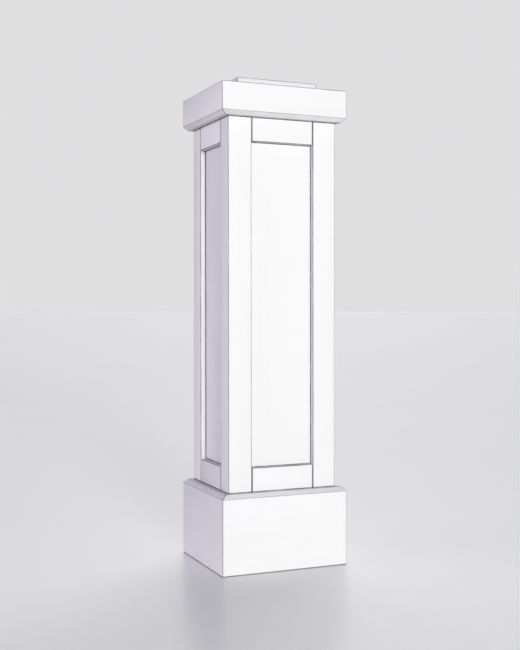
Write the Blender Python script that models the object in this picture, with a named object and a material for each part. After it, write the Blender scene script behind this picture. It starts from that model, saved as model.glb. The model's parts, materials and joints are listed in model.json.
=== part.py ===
"""Square recessed-panel newel post in white cellular PVC board.

Metres, +Z up. The origin is on the post's axis, in the plane that the post stands on.
Every board is modelled as the one on the front side, which faces -Y, and is then turned about
the post's axis to its own side.
"""

import math

import bmesh
import bpy
from mathutils import Vector

# Shaft
SHAFT_WIDTH = 0.254             # across the outer faces of the stiles
SHAFT_SHOWN = 0.828             # from the plinth's top to the cap band's underside
STILE_WIDTH = 0.054
STILE_THICKNESS = 0.0127        # the rails are cut from the same board, flush with the stiles
TOP_RAIL_SHOWN = 0.0535         # below the cap band
BOTTOM_RAIL_SHOWN = 0.0535      # above the plinth
PANEL_THICKNESS = 0.01905

# Plinth
PLINTH_HEIGHT = 0.177
PLINTH_THICKNESS = 0.020
PLINTH_CHAMFER = 0.0095

# Cap band
BAND_HEIGHT = 0.0715
BAND_THICKNESS = 0.020
BAND_CHAMFER = 0.0095

# Block that rises out of the shaft's mouth
BLOCK_RISE = 0.0205             # above the cap band's top
BLOCK_SEAT = 0.0175             # below it, inside the mouth

JOINT_GAP = 0.0003              # between pieces that touch

# Distances of the faces from the post's axis, from the outside in
STILE_FACE = SHAFT_WIDTH / 2
STILE_BACK = STILE_FACE - STILE_THICKNESS
PANEL_FACE = STILE_BACK - JOINT_GAP
PANEL_BACK = PANEL_FACE - PANEL_THICKNESS
WRAP_BACK = STILE_FACE + JOINT_GAP
PLINTH_FACE = WRAP_BACK + PLINTH_THICKNESS
BAND_FACE = WRAP_BACK + BAND_THICKNESS
BLOCK_FACE = PANEL_BACK - JOINT_GAP
STILE_INNER_EDGE = STILE_FACE - STILE_WIDTH
RAIL_END = STILE_INNER_EDGE - JOINT_GAP

# Heights
BAND_BOTTOM = PLINTH_HEIGHT + SHAFT_SHOWN
SHAFT_TOP = BAND_BOTTOM + BAND_HEIGHT
TOP_RAIL_BOTTOM = BAND_BOTTOM - TOP_RAIL_SHOWN
BOTTOM_RAIL_TOP = PLINTH_HEIGHT + BOTTOM_RAIL_SHOWN
BLOCK_BOTTOM = SHAFT_TOP - BLOCK_SEAT

# Each side's name and how far it is turned from the front, seen from above
SIDES = {"front": 0, "right": 90, "back": 180, "left": 270}

# Linear colour and roughness of each kind of board
BOARD_FINISHES = {
    "plinth_pvc": ((0.87, 0.87, 0.88), 0.42),
    "band_pvc": ((0.87, 0.87, 0.88), 0.42),
    "stile_pvc": ((0.88, 0.88, 0.89), 0.40),
    "rail_pvc": ((0.88, 0.88, 0.89), 0.40),
    "panel_pvc": ((0.86, 0.86, 0.87), 0.44),
    "block_pvc": ((0.84, 0.84, 0.85), 0.50),
}


def clear_scene():
    for thing in list(bpy.data.objects):
        bpy.data.objects.remove(thing, do_unlink=True)


def make_material(name):
    colour, roughness = BOARD_FINISHES[name]
    material = bpy.data.materials.new(name)
    material.use_nodes = True
    shader = material.node_tree.nodes["Principled BSDF"]
    shader.inputs["Base Color"].default_value = (*colour, 1)
    shader.inputs["Roughness"].default_value = roughness
    shader.inputs["Metallic"].default_value = 0
    material.diffuse_color = (*colour, 1)
    return material


def make_group(name, parent=None):
    group = bpy.data.objects.new(name, None)
    bpy.context.scene.collection.objects.link(group)
    group.parent = parent
    return group


def flat_profile(face, back, height):
    """Cross-section of a plain board, as points (distance from the axis, height above its foot)."""
    return [(face, 0), (face, height), (back, height), (back, 0)]


def chamfered_top_profile(face, back, height, chamfer):
    return [(face, 0), (face, height - chamfer), (face - chamfer, height), (back, height), (back, 0)]


def chamfered_foot_profile(face, back, height, chamfer):
    return [(face - chamfer, 0), (face, chamfer), (face, height), (back, height), (back, 0)]


def mitre(mesh, end):
    """Cuts the board's end, -1 for left and 1 for right, along the diagonal through the axis.

    The cut stays half a joint gap short of the diagonal, so that two boards meet with one gap.
    """
    outward = Vector((end, 1, 0)).normalized()
    cut = bmesh.ops.bisect_plane(
        mesh,
        geom=[*mesh.verts, *mesh.edges, *mesh.faces],
        dist=1e-7,
        plane_co=-outward * JOINT_GAP / 2,
        plane_no=outward,
        clear_outer=True,
    )
    rim = [part for part in cut["geom_cut"] if isinstance(part, bmesh.types.BMEdge)]
    bmesh.ops.contextual_create(mesh, geom=rim)


def board_mesh(name, profile, left, right, mitred_ends=()):
    """A board on the front side: its profile extruded from x = left to right, then mitred."""
    mesh = bmesh.new()
    section = mesh.faces.new([mesh.verts.new((left, -out, height)) for out, height in profile])
    extruded = bmesh.ops.extrude_face_region(mesh, geom=[section])["geom"]
    far_end = [part for part in extruded if isinstance(part, bmesh.types.BMVert)]
    bmesh.ops.translate(mesh, verts=far_end, vec=(right - left, 0, 0))
    for end in mitred_ends:
        mitre(mesh, end)
    bmesh.ops.recalc_face_normals(mesh, faces=mesh.faces)
    data = bpy.data.meshes.new(name)
    mesh.to_mesh(data)
    mesh.free()
    return data


def place_on_side(name, data, side, foot, material, parent):
    """Turns a front-side mesh to its side, with its foot at that height."""
    piece = bpy.data.objects.new(name, data)
    bpy.context.scene.collection.objects.link(piece)
    piece.location = (0, 0, foot)
    piece.rotation_euler = (0, 0, math.radians(SIDES[side]))
    piece.parent = parent
    if not data.materials:
        data.materials.append(material)
    return piece


def add_wrap(prefix, profile, foot, material, parent):
    """Four boards of one profile, mitred at both ends, that close a square round the axis."""
    reach = max(out for out, _ in profile)
    data = board_mesh(prefix, profile, -reach, reach, mitred_ends=(-1, 1))
    for side in SIDES:
        place_on_side(f"{prefix}_{side}", data, side, foot, material, parent)


def add_stiles(material, parent):
    """Two stiles on each side, each mitred where it meets the next side's stile at the corner."""
    profile = flat_profile(STILE_FACE, STILE_BACK, SHAFT_TOP)
    left = board_mesh("left_stile", profile, -STILE_FACE, -STILE_INNER_EDGE, mitred_ends=(-1,))
    right = board_mesh("right_stile", profile, STILE_INNER_EDGE, STILE_FACE, mitred_ends=(1,))
    for side in SIDES:
        place_on_side(f"{side}_side_left_stile", left, side, 0, material, parent)
        place_on_side(f"{side}_side_right_stile", right, side, 0, material, parent)


def add_rails(prefix, foot, top, material, parent):
    """One rail on each side, cut square to fit between that side's stiles."""
    profile = flat_profile(STILE_FACE, STILE_BACK, top - foot)
    data = board_mesh(prefix, profile, -RAIL_END, RAIL_END)
    for side in SIDES:
        place_on_side(f"{prefix}_{side}", data, side, foot, material, parent)


def add_top_block(material, parent):
    """The square block that stands in the shaft's mouth."""
    mesh = bmesh.new()
    bmesh.ops.create_cube(mesh, size=1)
    thickness = BLOCK_SEAT + BLOCK_RISE
    bmesh.ops.scale(mesh, verts=mesh.verts, vec=(2 * BLOCK_FACE, 2 * BLOCK_FACE, thickness))
    bmesh.ops.translate(mesh, verts=mesh.verts, vec=(0, 0, thickness / 2))
    data = bpy.data.meshes.new("top_block")
    mesh.to_mesh(data)
    mesh.free()
    place_on_side("top_block", data, "front", BLOCK_BOTTOM, material, parent)


def build():
    clear_scene()
    finishes = {name: make_material(name) for name in BOARD_FINISHES}
    post = make_group("newel_post")
    shaft = make_group("shaft", post)
    plinth = make_group("plinth", post)
    cap = make_group("cap", post)

    panel = flat_profile(PANEL_FACE, PANEL_BACK, SHAFT_TOP)
    add_wrap("panel_board", panel, 0, finishes["panel_pvc"], shaft)
    add_stiles(finishes["stile_pvc"], shaft)
    add_rails("bottom_rail", 0, BOTTOM_RAIL_TOP, finishes["rail_pvc"], shaft)
    add_rails("top_rail", TOP_RAIL_BOTTOM, SHAFT_TOP, finishes["rail_pvc"], shaft)

    foot_wrap = chamfered_top_profile(PLINTH_FACE, WRAP_BACK, PLINTH_HEIGHT, PLINTH_CHAMFER)
    add_wrap("plinth_board", foot_wrap, 0, finishes["plinth_pvc"], plinth)

    neck_wrap = chamfered_foot_profile(BAND_FACE, WRAP_BACK, BAND_HEIGHT, BAND_CHAMFER)
    add_wrap("cap_band", neck_wrap, BAND_BOTTOM, finishes["band_pvc"], cap)
    add_top_block(finishes["block_pvc"], cap)


build()
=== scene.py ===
import json
import math
import random

import bmesh
import bpy
from mathutils import Matrix, Vector


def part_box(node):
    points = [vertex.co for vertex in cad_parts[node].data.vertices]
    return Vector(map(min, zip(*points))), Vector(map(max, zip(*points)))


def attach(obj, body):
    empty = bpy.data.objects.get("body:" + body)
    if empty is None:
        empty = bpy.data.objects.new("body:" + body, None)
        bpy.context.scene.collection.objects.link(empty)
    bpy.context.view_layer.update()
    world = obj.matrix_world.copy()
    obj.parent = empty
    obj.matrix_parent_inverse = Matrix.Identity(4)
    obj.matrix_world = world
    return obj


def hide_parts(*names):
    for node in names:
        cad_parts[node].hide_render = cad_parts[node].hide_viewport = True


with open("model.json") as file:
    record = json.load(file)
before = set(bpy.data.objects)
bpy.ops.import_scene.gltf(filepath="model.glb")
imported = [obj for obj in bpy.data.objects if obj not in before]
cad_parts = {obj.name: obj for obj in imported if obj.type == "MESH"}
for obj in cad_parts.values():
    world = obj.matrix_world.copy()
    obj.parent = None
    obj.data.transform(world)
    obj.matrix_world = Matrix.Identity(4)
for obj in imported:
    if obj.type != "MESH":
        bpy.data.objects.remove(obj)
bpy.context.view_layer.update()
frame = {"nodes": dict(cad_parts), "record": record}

# The looks of a square recessed-panel newel post in white satin cellular PVC board.
# Each board keeps the place and outline of its CAD node. It gains eased edges, and is finished
# as factory skin on its faces, as milled foam on its edges and chamfers, and as sawn foam on
# its ends and mitres. Lengths are in metres.

# Photograph's view, fitted to the post's own edges
IMAGE_WIDTH = 520
IMAGE_HEIGHT = 650
SENSOR = 36.0                   # millimetres
FOCAL_PIXELS = 1157.47
CENTRE_PIXEL = (380.0, 318.23)
CAMERA_PLACE = (-0.9475, -2.5425, 0.5841)
CAMERA_AZIMUTH = 26.225         # degrees
CAMERA_PITCH = 0.509            # degrees down

# Places where boards meet, read from the boards themselves
PLINTH_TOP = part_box("plinth_board_front")[1].z
BAND_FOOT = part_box("cap_band_front")[0].z
SHAFT_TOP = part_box("front_side_left_stile")[1].z
SHAFT_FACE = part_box("front_side_left_stile")[0].y
FRAME_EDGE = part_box("front_side_left_stile")[1].x
BOTTOM_RAIL_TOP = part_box("bottom_rail_front")[1].z
TOP_RAIL_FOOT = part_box("top_rail_front")[0].z

# Edges: how far each kind is eased, and how far a rail's ends draw back from the stiles
BOARD_EASE = 0.0016
MITRE_EASE = 0.0010
CHAMFER_EASE = 0.0005
EASE_STEPS = 3
RAIL_DRAW_BACK = 0.0006

# How the solids' faces are read
MERGE = 1e-6                    # points nearer than this are one
FLAT = math.radians(0.1)        # faces at a smaller angle are one
NORMAL_SLACK = 0.01             # for a mitre's normal
SQUARE_ON = 0.9                 # a face is square to an axis if its normal goes further along it
CHAMFER_TURN = 0.5              # cosine that the faces at a chamfer's edge are above

# Each side's turn from the front, and the axis that each kind of board runs along
SIDES = {"front": 0, "right": 90, "back": 180, "left": 270}
GRAIN = {
    "plinth_pvc": "X",
    "band_pvc": "X",
    "stile_pvc": "Z",
    "rail_pvc": "X",
    "panel_pvc": "Z",
    "block_pvc": "X",
}

# Order of a board's materials
SKIN, MILLED, SAWN, ARRIS = range(4)

# Linear colours of the board
SKIN_LIGHT = (0.805, 0.805, 0.81)
SKIN_SHADE = (0.782, 0.782, 0.79)
FOAM_LIGHT = (0.78, 0.78, 0.79)
FOAM_SHADE = (0.735, 0.735, 0.75)
PORE = (0.48, 0.48, 0.50)
SPECK = (0.50, 0.49, 0.48)
# Near-black of the painted shade, with some dust, in inner corners, at the plinth's foot and on the arrises
DUST_AND_SHADE = (0.14, 0.14, 0.15)

# Roughness, at one end of the pattern that varies it and at the other
SKIN_ROUGHNESS = (0.34, 0.5)
MILLED_ROUGHNESS = (0.52, 0.68)
SAWN_ROUGHNESS = (0.6, 0.75)
ARRIS_ROUGHNESS = (0.55, 0.75)
FLOOR_ROUGHNESS = 0.3
BOARD_IOR = 1.53

# Cloudy patterns in features a metre, as (across, along) the grain where they are drawn out
STREAKS = (120.0, 0.9)
MOTTLE = (420.0, 150.0)
PEEL = 850.0
SKIN_CLOUDS = 7.0
MILLED_CLOUDS = 30.0
SAWN_CLOUDS = 40.0
ARRIS_PATCHES = (300.0, 28.0)
SHADE_AND_DUST_PATCHES = 45.0
FLOOR_CLOUDS = 1.3
MIDDLE = (0.3, 0.7)             # where most of a cloudy pattern's values lie

# Dots, as (number a metre, radius as a share of their spacing)
SPECKS = (42.0, 0.024)
FINE_PORES = (1300.0, 0.3)
COARSE_PORES = (900.0, 0.35)
DOT_CORE = 0.5                  # share of a dot's radius that is at full strength

# Tool marks, as (spacing, how much they wander)
CUTTER_MARKS = (0.0017, 0.8)
SAW_LINES = (0.0012, 3.0)
WAVE_RATE = 20                  # radians of a wave pattern in a unit of its scale

# Depths of the relief
STREAK_DEPTH = 0.00001
MOTTLE_DEPTH = 0.00003
PEEL_DEPTH = 0.00006
CUTTER_DEPTH = 0.00003
FINE_PORE_DEPTH = 0.00006
SAW_DEPTH = 0.00008
COARSE_PORE_DEPTH = 0.00008
ARRIS_PORE_DEPTH = 0.00004

# How far boards differ: in their place in the patterns, and in their share of the darker tone
PATTERN_SHIFT = 5
TONE_RANGE = 0.5
BOARD_SEED = 7

# Where painted shade, with some dust, darkens the inner corners and the plinth's foot on the floor, as
# (axis, place) in a front-side board's frame
SHADE_AND_DUST_WIDTH = 0.0022
SHADE_AND_DUST_CORE = 0.55                # share of that width where it lies thickest
SHADE_AND_DUST_THINNEST = 0.7             # least share of its strength, between the patches
SHADE_AND_DUST_LINES = {
    "plinth_pvc": [("Y", SHAFT_FACE), ("Z", 0.0)],
    "band_pvc": [("Y", SHAFT_FACE)],
    "stile_pvc": [("Z", PLINTH_TOP), ("Z", BAND_FOOT)],
    "rail_pvc": [("Z", PLINTH_TOP), ("Z", BAND_FOOT)],
    "panel_pvc": [("X", FRAME_EDGE), ("X", -FRAME_EDGE), ("Z", BOTTOM_RAIL_TOP), ("Z", TOP_RAIL_FOOT)],
    "block_pvc": [("Z", SHAFT_TOP)],
}

# Studio: a round floor, and linear colours of the walls all round and of the ceiling, with the
# heights where one gives way to the other as sines of elevation
FLOOR_RADIUS = 200
FLOOR_SIDES = 96
FLOOR_LIGHT = (0.84, 0.84, 0.845)
FLOOR_SHADE = (0.81, 0.81, 0.815)
WALL = (0.74, 0.74, 0.75)
CEILING = (0.07, 0.07, 0.09)
WALL_TOP = 0.28
CEILING_START = 0.62

# Lamps: name, azimuth, elevation and softness in degrees, strength, colour, shows in gloss
LAMPS = [
    ("key", -6, 5, 12, 2.5, (1.0, 0.995, 0.965), False),
    ("side_fill", -90, 7, 30, 1.08, (0.78, 0.66, 0.98), False),
    ("rear_fill", 140, 7, 40, 2.4, (1.0, 1.0, 1.0), False),
    ("back_fill", 160, 38, 56, 0.6, (1.0, 1.0, 1.0), True),
    ("overhead", 0, 90, 1.0, 0.3, (1.0, 1.0, 1.0), False),
]


# Data helpers

def add_object(name, data):
    thing = bpy.data.objects.new(name, data)
    bpy.context.scene.collection.objects.link(thing)
    return thing


def mesh_data(name, mesh):
    """The working mesh as a mesh of its own."""
    data = bpy.data.meshes.new(name)
    mesh.to_mesh(data)
    mesh.free()
    return data


# Node helpers

class Graph:
    """The nodes of one material or world. A value given to a call is a plain value or an output."""

    def __init__(self, owner):
        owner.use_nodes = True
        self.nodes = owner.node_tree.nodes
        self.links = owner.node_tree.links

    def give(self, socket, value):
        if isinstance(value, bpy.types.NodeSocket):
            self.links.new(value, socket)
        else:
            socket.default_value = value

    def add(self, kind, inputs, **settings):
        node = self.nodes.new("ShaderNode" + kind)
        for name, value in settings.items():
            setattr(node, name, value)
        for socket, value in inputs.items():
            self.give(node.inputs[socket], value)
        return node

    def math(self, operation, first, second=0.0):
        return self.add("Math", {0: first, 1: second}, operation=operation).outputs[0]

    def mix(self, share, first, second):
        """Colour that goes from the first to the second as share goes from 0 to 1."""
        colours = [value if isinstance(value, bpy.types.NodeSocket) else (*value, 1)
                   for value in (first, second)]
        node = self.add("Mix", {0: share, 6: colours[0], 7: colours[1]}, data_type="RGBA")
        return node.outputs[2]

    def ramp(self, value, low, high, out_low=0.0, out_high=1.0):
        """Value carried smoothly from low..high to out_low..out_high, and held beyond them."""
        inputs = {"Value": value, "From Min": low, "From Max": high, "To Min": out_low, "To Max": out_high}
        return self.add("MapRange", inputs, interpolation_type="SMOOTHSTEP").outputs[0]

    def tint(self, colour, towards, pattern, low, high, share=1.0):
        """The colour carried towards another, by up to that share as the pattern goes from low to high."""
        return self.mix(self.ramp(pattern, low, high, 0.0, share), colour, towards)

    def noise(self, place, scale, detail):
        """Cloudy pattern with that many features a metre, by axis where scale is a triple."""
        if isinstance(scale, tuple):
            place = self.add("VectorMath", {0: place, 1: scale}, operation="MULTIPLY").outputs[0]
            scale = 1.0
        return self.add("TexNoise", {"Vector": place, "Scale": scale, "Detail": detail}).outputs["Fac"]

    def bumps(self, *layers):
        """Normal of stacked relief, each layer as (height output, depth)."""
        normal = None
        for height, depth in layers:
            inputs = {"Height": height, "Distance": depth}
            if normal:
                inputs["Normal"] = normal
            normal = self.add("Bump", inputs).outputs[0]
        return normal


# Board materials

class Board(Graph):
    """A board's material, patterned along its grain, with its own place in every pattern."""

    def __init__(self, name, slot):
        self.material = bpy.data.materials.new(name)
        super().__init__(self.material)
        self.slot = slot
        self.local = self.add("TexCoord", {}).outputs["Object"]
        shift = self.add("Attribute", {}, attribute_name="board_shift").outputs["Vector"]
        self.place = self.add("VectorMath", {0: self.local, 1: shift}).outputs[0]

    def clouds(self, size, detail):
        """Cloudy pattern, drawn out along the grain where its size is a pair."""
        if isinstance(size, tuple):
            across, along = size
            size = tuple(along if axis == GRAIN[self.slot] else across for axis in "XYZ")
        return self.noise(self.place, size, detail)

    def dots(self, number, radius):
        """1 inside scattered dots, and 0 outside."""
        cells = self.add("TexVoronoi", {"Vector": self.place, "Scale": number}).outputs["Distance"]
        return self.ramp(cells, radius * DOT_CORE, radius, 1.0, 0.0)

    def pits(self, dots, depth):
        """The dots as a layer of relief, sunk to that depth."""
        return self.math("SUBTRACT", 1.0, dots), depth

    def ridges(self, axis, spacing, wander):
        """Tool marks that far apart along the axis."""
        inputs = {"Vector": self.place, "Scale": math.tau / (WAVE_RATE * spacing), "Distortion": wander}
        return self.add("TexWave", inputs, bands_direction=axis).outputs["Fac"]

    def shaded_and_dusted(self, colour):
        """The colour darkened along the board's inner corners by painted shade with some dust, in uneven
        patches.
        """
        axes = dict(zip("XYZ", self.add("SeparateXYZ", {0: self.local}).outputs))
        shares = []
        for axis, place in SHADE_AND_DUST_LINES[self.slot]:
            away = self.math("ABSOLUTE", self.math("SUBTRACT", axes[axis], place))
            shares.append(self.ramp(away, SHADE_AND_DUST_WIDTH * SHADE_AND_DUST_CORE, SHADE_AND_DUST_WIDTH, 1.0, 0.0))
        share = shares[0]
        for other in shares[1:]:
            share = self.math("MAXIMUM", share, other)
        clouds = self.clouds(SHADE_AND_DUST_PATCHES, detail=3.0)
        patches = self.ramp(clouds, low=0.3, high=0.6, out_low=SHADE_AND_DUST_THINNEST)
        return self.mix(self.math("MULTIPLY", share, patches), colour, DUST_AND_SHADE)

    def toned(self, colour):
        """The colour a shade darker on some boards than on others."""
        tone = self.add("Attribute", {}, attribute_name="board_tone").outputs["Fac"]
        return self.mix(tone, colour, SKIN_SHADE)

    def finish(self, colour, roughness, normal):
        """The material with that surface, and painted shade with some dust in its inner corners."""
        shader = self.nodes["Principled BSDF"]
        self.give(shader.inputs["Base Color"], self.shaded_and_dusted(colour))
        self.give(shader.inputs["Roughness"], roughness)
        self.give(shader.inputs["Normal"], normal)
        shader.inputs["IOR"].default_value = BOARD_IOR
        return self.material


def skin_material(slot):
    """Factory skin: faint streaks along the board, clouds, fine mottle, orange peel, a rare speck."""
    board = Board(slot + "_skin", slot)
    streaks = board.clouds(STREAKS, detail=2.0)
    mottle = board.clouds(MOTTLE, detail=3.0)
    clouds = board.clouds(SKIN_CLOUDS, detail=3.0)
    peel = board.clouds(PEEL, detail=1.0)
    colour = board.tint(SKIN_LIGHT, SKIN_SHADE, streaks, *MIDDLE, share=0.6)
    colour = board.tint(colour, SKIN_SHADE, mottle, low=0.35, high=0.65, share=0.7)
    colour = board.tint(colour, SKIN_SHADE, clouds, low=0.35, high=0.75, share=0.6)
    colour = board.mix(board.dots(*SPECKS), board.toned(colour), SPECK)
    roughness = board.ramp(clouds, *MIDDLE, *SKIN_ROUGHNESS)
    normal = board.bumps((streaks, STREAK_DEPTH), (mottle, MOTTLE_DEPTH), (peel, PEEL_DEPTH))
    return board.finish(colour, roughness, normal)


def milled_material(slot):
    """Milled foam on edges and chamfers: fine cutter marks across the run, and open pores."""
    board = Board(slot + "_milled", slot)
    marks = board.ridges(GRAIN[slot], *CUTTER_MARKS)
    pores = board.dots(*FINE_PORES)
    clouds = board.clouds(MILLED_CLOUDS, detail=3.0)
    colour = board.tint(FOAM_LIGHT, FOAM_SHADE, clouds, *MIDDLE)
    colour = board.tint(colour, FOAM_SHADE, marks, low=0.0, high=1.0, share=0.3)
    colour = board.mix(pores, colour, PORE)
    roughness = board.ramp(clouds, *MIDDLE, *MILLED_ROUGHNESS)
    normal = board.bumps((marks, CUTTER_DEPTH), board.pits(pores, FINE_PORE_DEPTH))
    return board.finish(colour, roughness, normal)


def sawn_material(slot):
    """Sawn foam on ends and mitres: wandering saw lines through the thickness, and coarser pores."""
    board = Board(slot + "_sawn", slot)
    lines = board.ridges("Y", *SAW_LINES)
    pores = board.dots(*COARSE_PORES)
    clouds = board.clouds(SAWN_CLOUDS, detail=3.0)
    colour = board.tint(FOAM_LIGHT, FOAM_SHADE, clouds, *MIDDLE)
    colour = board.tint(colour, FOAM_SHADE, lines, low=0.2, high=1.0, share=0.6)
    colour = board.mix(pores, colour, PORE)
    roughness = board.ramp(lines, 0.0, 1.0, *SAWN_ROUGHNESS)
    normal = board.bumps((lines, SAW_DEPTH), board.pits(pores, COARSE_PORE_DEPTH))
    return board.finish(colour, roughness, normal)


def arris_material(slot):
    """Eased arrises, darkened in uneven patches: partly dust on the sanded foam, partly painted shade that
    draws the joints and edges as dark lines.
    """
    board = Board(slot + "_arris", slot)
    patches = board.clouds(ARRIS_PATCHES, detail=3.0)
    pores = board.dots(*FINE_PORES)
    # Painted shade with some dust: the arris colour goes most of the way to the near-black tone
    dust_and_shade = board.ramp(patches, low=0.25, high=0.65, out_low=0.55, out_high=0.95)
    colour = board.mix(dust_and_shade, FOAM_SHADE, DUST_AND_SHADE)
    roughness = board.ramp(patches, *MIDDLE, *ARRIS_ROUGHNESS)
    normal = board.bumps(board.pits(pores, ARRIS_PORE_DEPTH))
    return board.finish(colour, roughness, normal)


# Boards

def side_of(node):
    """The side that a board stands on: a stile's name starts with it, and the others end in it."""
    words = node.split("_")
    return next((word for word in (words[0], words[-1]) if word in SIDES), "front")


def board_outline(node, turn):
    """The node's solid, turned to the front side, with each flat face as one polygon."""
    mesh = bmesh.new()
    mesh.from_mesh(frame["nodes"][node].data)
    bmesh.ops.remove_doubles(mesh, verts=mesh.verts, dist=MERGE)
    bmesh.ops.dissolve_limit(mesh, angle_limit=FLAT, verts=mesh.verts, edges=mesh.edges)
    bmesh.ops.transform(mesh, matrix=turn.inverted(), verts=mesh.verts)
    bmesh.ops.recalc_face_normals(mesh, faces=mesh.faces)
    return mesh


def open_joints(mesh):
    """Draws a rail's two ends back, so that its joints with the stiles show as fine open lines."""
    for vert in mesh.verts:
        vert.co.x -= math.copysign(RAIL_DRAW_BACK, vert.co.x)


def is_mitre(face):
    """True for an upright face that lies on a corner's diagonal."""
    x, y, z = map(abs, face.normal)
    return abs(x - y) < NORMAL_SLACK and z < NORMAL_SLACK


def ease_of(edge):
    """How far an edge is eased, from the faces that it parts."""
    if any(is_mitre(face) for face in edge.link_faces):
        return MITRE_EASE
    along = abs(edge.link_faces[0].normal.dot(edge.link_faces[1].normal))
    return CHAMFER_EASE if along > CHAMFER_TURN else BOARD_EASE


def finish_of(face, slot):
    """Skin on a board's broad faces, sawn on its ends and mitres, milled on what is left."""
    broad = face.normal.z if slot == "block_pvc" else face.normal.y
    if abs(broad) > SQUARE_ON:
        return SKIN
    endwise = face.normal["XYZ".index(GRAIN[slot])]
    return SAWN if is_mitre(face) or abs(endwise) > SQUARE_ON else MILLED


def mark_board(data, draw):
    """Gives a board its own place in the patterns and its own tone."""
    count = len(data.vertices)
    shift = data.attributes.new("board_shift", "FLOAT_VECTOR", "POINT")
    shift.data.foreach_set("vector", [draw.uniform(0, PATTERN_SHIFT) for _ in "XYZ"] * count)
    tone = data.attributes.new("board_tone", "FLOAT", "POINT")
    tone.data.foreach_set("value", [draw.uniform(0, TONE_RANGE)] * count)


def board_mesh(node, slot, turn):
    """The board facing the front, with each edge's share of the ease and each face's finish."""
    mesh = board_outline(node, turn)
    if slot == "rail_pvc":
        open_joints(mesh)
    weights = mesh.edges.layers.float.new("bevel_weight_edge")
    for edge in mesh.edges:
        edge[weights] = ease_of(edge) / BOARD_EASE
    for face in mesh.faces:
        face.material_index = finish_of(face, slot)
        face.smooth = True
    return mesh_data(node + "_finished", mesh)


def ease_edges(piece):
    ease = piece.modifiers.new("eased edges", "BEVEL")
    ease.width = BOARD_EASE
    ease.segments = EASE_STEPS
    ease.limit_method = "WEIGHT"
    ease.harden_normals = True
    ease.material = ARRIS


def finished_board(node, slot, materials, draw):
    turn = Matrix.Rotation(math.radians(SIDES[side_of(node)]), 4, "Z")
    data = board_mesh(node, slot, turn)
    mark_board(data, draw)
    for material in materials:
        data.materials.append(material)
    piece = add_object(node + "_finished", data)
    piece.matrix_world = turn
    ease_edges(piece)
    return piece


def dress_post():
    slots = {row["node"]: row["material_slot"] for row in frame["record"]["subparts"]}
    makers = (skin_material, milled_material, sawn_material, arris_material)
    finishes = {slot: [make(slot) for make in makers] for slot in GRAIN}
    draw = random.Random(BOARD_SEED)
    for node, slot in slots.items():
        piece = finished_board(node, slot, finishes[slot], draw)
        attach(piece, "root")
        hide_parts(node)


# Stage

def floor_material():
    """Pale satin studio floor, a little uneven in tone."""
    material = bpy.data.materials.new("floor_paint")
    graph = Graph(material)
    place = graph.add("TexCoord", {}).outputs["Object"]
    clouds = graph.noise(place, FLOOR_CLOUDS, detail=4.0)
    shader = graph.nodes["Principled BSDF"]
    graph.give(shader.inputs["Base Color"], graph.mix(clouds, FLOOR_LIGHT, FLOOR_SHADE))
    shader.inputs["Roughness"].default_value = FLOOR_ROUGHNESS
    return material


def add_floor():
    mesh = bmesh.new()
    bmesh.ops.create_circle(mesh, cap_ends=True, radius=FLOOR_RADIUS, segments=FLOOR_SIDES)
    floor = add_object("studio_floor", mesh_data("studio_floor", mesh))
    floor.data.materials.append(floor_material())


def heading(azimuth, elevation):
    """Direction that far round from +Y towards +X, and that far up, in degrees."""
    around, above = math.radians(azimuth), math.radians(elevation)
    return Vector((math.sin(around) * math.cos(above), math.cos(around) * math.cos(above), math.sin(above)))


def aim(thing, direction):
    """Turns a lamp or a camera to look that way."""
    thing.rotation_euler = direction.to_track_quat("-Z", "Y").to_euler()


def add_sun(name, azimuth, elevation, softness, strength, colour, glossy):
    """A distant lamp. Azimuth 0 shines from the front, -Y, and 90 from the right, +X."""
    data = bpy.data.lights.new(name, "SUN")
    data.angle = math.radians(softness)
    data.energy = strength
    data.color = colour
    lamp = add_object(name, data)
    lamp.visible_glossy = glossy
    aim(lamp, heading(-azimuth, -elevation))


def add_world():
    """Pale studio walls all round that fade to a dim ceiling."""
    world = bpy.data.worlds.new("studio_walls")
    bpy.context.scene.world = world
    graph = Graph(world)
    direction = graph.add("TexCoord", {}).outputs["Generated"]
    up = graph.add("SeparateXYZ", {0: direction}).outputs["Z"]
    room = graph.tint(WALL, CEILING, up, WALL_TOP, CEILING_START)
    graph.give(graph.nodes["Background"].inputs["Color"], room)


def light_stage():
    add_world()
    for lamp in LAMPS:
        add_sun(*lamp)
    bpy.context.scene.view_settings.view_transform = "Standard"


def add_camera():
    data = bpy.data.cameras.new("camera")
    data.sensor_width = SENSOR
    data.lens = FOCAL_PIXELS / IMAGE_HEIGHT * SENSOR
    data.shift_x = (IMAGE_WIDTH / 2 - CENTRE_PIXEL[0]) / IMAGE_HEIGHT
    data.shift_y = (CENTRE_PIXEL[1] - IMAGE_HEIGHT / 2) / IMAGE_HEIGHT
    camera = add_object("camera", data)
    camera.location = CAMERA_PLACE
    aim(camera, heading(CAMERA_AZIMUTH, -CAMERA_PITCH))
    bpy.context.scene.camera = camera


add_camera()
dress_post()
add_floor()
light_stage()
